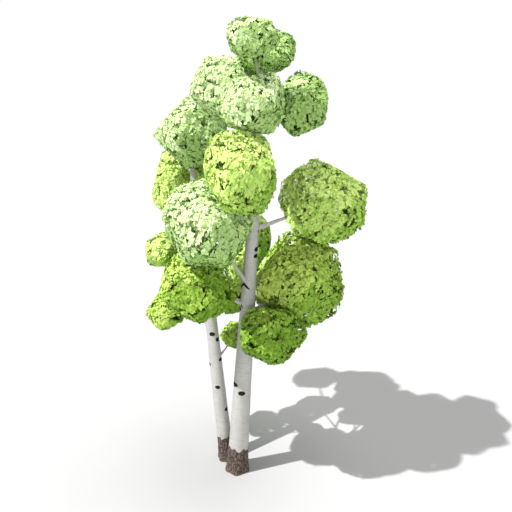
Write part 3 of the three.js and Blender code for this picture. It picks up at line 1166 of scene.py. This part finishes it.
def effect(tree, name, vector, **values):
    """The mask of a group above, built once and placed in a material with its own values."""
    group = bpy.data.node_groups.get(name) or EFFECTS[name]()
    values = {"Vector": vector, **values}
    return add_node(tree, "ShaderNodeGroup", values, node_tree=group).outputs["Mask"]


EFFECTS = {"Bark bands": band_group, "Ragged edge": edge_group, "Weathering": weather_group}


def new_material(name):
    """A material with a bare Principled shader."""
    material = bpy.data.materials.new(name)
    material.use_nodes = True
    tree = material.node_tree
    shader = next(n for n in tree.nodes if n.type == "BSDF_PRINCIPLED")
    return material, tree, shader


def papery_colour(tree, place, along, bark):
    """White bark with grey clouds and bands and dark lenticels, and the mask of the lenticels."""
    white, grey = (*bark.white, 1), (*bark.grey, 1)
    stretched = add_node(tree, "ShaderNodeMapping", {"Vector": place, "Scale": CLOUD_STRETCH})
    clouds = effect(tree, "Weathering", stretched.outputs[0], **CLOUDS)
    colour = mixed(tree, worked(tree, "MULTIPLY", clouds, CLOUD_STRENGTH), white, grey)
    bands = effect(tree, "Bark bands", place, Along=along, **GREY_BANDS)
    colour = mixed(tree, worked(tree, "MULTIPLY", bands, GREY_BAND_STRENGTH), colour, grey)
    lenticels = effect(tree, "Bark bands", place, Along=along, **LENTICELS)
    dark = (*(LENTICEL_TONE * part for part in bark.grey), 1)
    colour = mixed(tree, worked(tree, "MULTIPLY", lenticels, LENTICEL_STRENGTH), colour, dark)
    return colour, lenticels


def rugged_colour(tree, place, crack, bark):
    """Crusted ridges with dark clefts between them, the clefts' darkness partly the bark's own and
    partly painted shade.
    """
    crust = effect(tree, "Weathering", place, **CRUST)
    lit = (*(min(1, CRUST_TONE * part) for part in bark.foot), 1)
    ridge = mixed(tree, crust, (*bark.foot, 1), lit)
    return mixed(tree, crack, ridge, (*bark.cleft, 1))


def bark_material(name, bark, young):
    """Papery white bark with grey bands, lenticels, black scars and a rugged foot.

    With young set, the bark turns to the colour of twigs where the limb grows thin.
    """
    material, tree, shader = new_material(name)
    place = add_node(tree, "ShaderNodeTexCoord").outputs["Object"]
    field = {}
    for key in BARK_FIELDS:
        field[key] = add_node(tree, "ShaderNodeAttribute", attribute_name=key).outputs["Fac"]
    colour, lenticels = papery_colour(tree, place, field["along"], bark)
    if young:
        thin = ranged(tree, field["age"], 1.0, 0.0)
        colour = mixed(tree, thin, colour, (*bark.twig, 1))
    black = effect(tree, "Ragged edge", place, Field=field["scar"], **SCAR_EDGE)
    colour = mixed(tree, black, colour, (*bark.scar, 1))
    crack = ranged(tree, field["cleft"], *CRACK_RANGE)
    foot = effect(tree, "Ragged edge", place, Field=field["foot"], **FOOT_EDGE)
    colour = mixed(tree, foot, colour, rugged_colour(tree, place, crack, bark))
    tree.links.new(colour, shader.inputs["Base Color"])
    rough = worked(tree, "MAXIMUM", foot, black)
    tree.links.new(ranged(tree, rough, 0.0, 1.0, *BARK_ROUGHNESS), shader.inputs["Roughness"])
    shader.inputs["Specular IOR Level"].default_value = BARK_SPECULAR
    grain = noisy(tree, place, GRAIN_SCALE, Detail=GRAIN_DETAIL)
    raised = worked(tree, "SUBTRACT", worked(tree, "MULTIPLY", grain, GRAIN_HEIGHT), lenticels)
    raised = worked(tree, "SUBTRACT", raised, worked(tree, "MULTIPLY", crack, CRACK_HEIGHT))
    bump = add_node(tree, "ShaderNodeBump", {"Height": raised, **BUMP})
    tree.links.new(bump.outputs["Normal"], shader.inputs["Normal"])
    return material


def plain_material(name, colour, roughness, specular):
    """A material of one colour all over, told on the shader's own sockets."""
    material, _, shader = new_material(name)
    shader.inputs["Base Color"].default_value = (*colour, 1)
    shader.inputs["Roughness"].default_value = roughness
    shader.inputs["Specular IOR Level"].default_value = specular
    return material


def leaf_materials(tone, leaves):
    """The shades of one tone, from its sun leaf to its shade leaf: lighter and darker copies of one
    colour, dealt out as painted light and shade and as random patches.
    """
    sun, shade = (np.array(getattr(leaves, f"{tone}_{end}")) for end in ("sun", "shade"))
    made = []
    for step in range(LEAF_SHADES):
        name = f"{tone} leaf {step + 1}"
        colour = sun * (shade / sun) ** (step / (LEAF_SHADES - 1))
        made.append(bpy.data.materials.get(name) or plain_material(name, colour, *LEAF_FINISH))
    return made


# ---------------------------------------------------------------- stage


def lay_floor(stage):
    """A plain pale floor under the tree."""
    bm = bmesh.new()
    bmesh.ops.create_grid(bm, x_segments=1, y_segments=1, size=FLOOR_SIZE)
    mesh = bpy.data.meshes.new("floor")
    bm.to_mesh(mesh)
    bm.free()
    mesh.materials.append(plain_material("Floor", stage.floor, *FLOOR_FINISH))
    add_object("floor", mesh)


def light_tree(scene, stage):
    """Light from all round before a white wall, and the main, the overhead and the front light."""
    world = bpy.data.worlds.new("Studio")
    scene.world = world
    world.use_nodes = True
    tree = world.node_tree
    tree.nodes.clear()
    fill, wall = (
        add_node(tree, "ShaderNodeBackground", {"Color": (1, 1, 1, 1), "Strength": strength})
        for strength in (stage.fill, 1.0)
    )
    seen = add_node(tree, "ShaderNodeLightPath").outputs["Is Camera Ray"]
    both = add_node(tree, "ShaderNodeMixShader", {0: seen, 1: fill.outputs[0], 2: wall.outputs[0]})
    add_node(tree, "ShaderNodeOutputWorld", {"Surface": both.outputs[0]})
    for name, strength, softness, toward in (
        ("Key", stage.key, stage.key_softness, TOWARD_KEY),
        ("Top", stage.top, stage.broad_softness, TOWARD_TOP),
        ("Front", stage.front, stage.broad_softness, TOWARD_FRONT),
    ):
        light = bpy.data.lights.new(name, "SUN")
        light.energy = strength
        light.angle = softness
        lamp = add_object(name, light)
        lamp.rotation_euler = Vector(toward).to_track_quat("Z", "Y").to_euler()


# ---------------------------------------------------------------- operators


class BIRCH_OT_stems(bpy.types.Operator):
    """Make both stems, with papery bark, black scars and a rugged foot"""

    bl_idname = "birch.stems"
    bl_label = "Stems"

    def execute(self, context):
        bark = context.scene.birch.bark
        material = bark_material("Birch bark", bark, young=False)
        feet = {"main": bark.foot_height, "second": bark.second_foot_height}
        for name, stem in stems.items():
            surface = partial(stem_surface, stem, feet[name], bark.fissure_depth)
            column = (stem.plan["sides"], stem.plan["rings"], STEM_DRAW, surface)
            piece = limb_piece(f"stem_{name}_bark", [column], material)
            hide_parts(f"stem_{name}")
        return {"FINISHED"}


class BIRCH_OT_boughs(bpy.types.Operator):
    """Make the boughs, from their collars on the stems to the middles of their masses"""

    bl_idname = "birch.boughs"
    bl_label = "Boughs"

    def execute(self, context):
        material = bark_material("Bough bark", context.scene.birch.bark, young=True)
        for name, stem in stems.items():
            carried = masses_on(stem)
            surfaces = [partial(bough_surface, mass) for mass in carried]
            columns = [(BOUGH_SIDES, BOUGH_RINGS, BOUGH_DRAW, surface) for surface in surfaces]
            piece = limb_piece(f"boughs_{name}", columns, material)
            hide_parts(*(f"bough_{mass.name}" for mass in carried if mass.fork))
        return {"FINISHED"}


class BIRCH_OT_twigs(bpy.types.Operator):
    """Grow the twigs, laterals and shoots in every mass of foliage"""

    bl_idname = "birch.twigs"
    bl_label = "Twigs"

    def execute(self, context):
        settings = context.scene.birch.twigs
        material = plain_material("Twig bark", context.scene.birch.bark.twig, *TWIG_FINISH)
        thick = settings.twig_radius
        for name, stem in stems.items():
            vertices, triangles, count = [], [], 0
            for mass in masses_on(stem):
                *kinds, _ = grow_mass(mass, settings)
                for curves, (steps, sides, root, end) in zip(kinds, TUBES):
                    points, faces = tube_arrays(curves, steps, sides, root * thick, end * thick)
                    vertices.append(points)
                    triangles.append(faces + count)
                    count += len(points)
            mesh = joined_mesh(f"twigs_{name}", np.concatenate(vertices), np.concatenate(triangles))
            mesh.shade_smooth()
            piece = add_piece(f"twigs_{name}", mesh, [material])
        return {"FINISHED"}


class BIRCH_OT_leaves(bpy.types.Operator):
    """Set leaves along every shoot, as one piece for each mass of foliage"""

    bl_idname = "birch.leaves"
    bl_label = "Leaves"

    def execute(self, context):
        settings = context.scene.birch
        leaves = settings.leaves
        for mass in masses:
            _, laterals, shoots, random = grow_mass(mass, settings.twigs)
            shades = shades_with_painted_light(mass, laterals, random, settings.twigs.shoots)
            *places, shoot = leaf_places(mass, shoots, random, leaves.per_shoot, leaves.length)
            mesh = leaf_mesh(f"leaves_{mass.name}", *places, shades[shoot])
            piece = add_piece(f"leaves_{mass.name}", mesh, leaf_materials(mass.tone, leaves))
            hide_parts(f"foliage_{mass.name}")
        return {"FINISHED"}


class BIRCH_OT_stage(bpy.types.Operator):
    """Lay the floor, light the tree and set the camera"""

    bl_idname = "birch.stage"
    bl_label = "Stage"

    def execute(self, context):
        stage = context.scene.birch.stage
        lay_floor(stage)
        light_tree(context.scene, stage)
        camera = bpy.data.cameras.new("Camera")
        camera.angle = stage.view_angle
        camera.clip_end = 4 * FLOOR_SIZE
        view = add_object("Camera", camera)
        view.location = stage.camera_place
        view.rotation_euler = (math.pi / 2 - stage.camera_tilt, 0, 0)
        context.scene.camera = view
        context.scene.view_settings.view_transform = "Standard"
        return {"FINISHED"}


class BIRCH_PT_panel(bpy.types.Panel):
    """The tree's pieces and settings"""

    bl_idname = "BIRCH_PT_panel"
    bl_label = "Birch tree"
    bl_space_type = "VIEW_3D"
    bl_region_type = "UI"
    bl_category = "Birch"

    def draw(self, context):
        settings = context.scene.birch
        for step, group in STEPS.items():
            box = self.layout.box()
            box.operator(f"birch.{step}")
            if group:
                chosen = getattr(settings, group)
                for name in chosen.bl_rna.properties.keys():
                    if name not in ("rna_type", "name"):
                        box.prop(chosen, name)


# The operators in their order, each with its group of settings.
STEPS = {"stems": "bark", "boughs": None, "twigs": "twigs", "leaves": "leaves", "stage": "stage"}
CLASSES = (
    BirchBarkSettings,
    BirchTwigSettings,
    BirchLeafSettings,
    BirchStageSettings,
    BirchSettings,
    BIRCH_OT_stems,
    BIRCH_OT_boughs,
    BIRCH_OT_twigs,
    BIRCH_OT_leaves,
    BIRCH_OT_stage,
    BIRCH_PT_panel,
)


def register():
    for cls in CLASSES:
        bpy.utils.register_class(cls)
    bpy.types.Scene.birch = PointerProperty(type=BirchSettings, name="Birch tree")


def unregister():
    del bpy.types.Scene.birch
    for cls in reversed(CLASSES):
        bpy.utils.unregister_class(cls)


def main():
    register()
    for step in STEPS:
        getattr(bpy.ops.birch, step)()


if __name__ == "__main__":
    main()
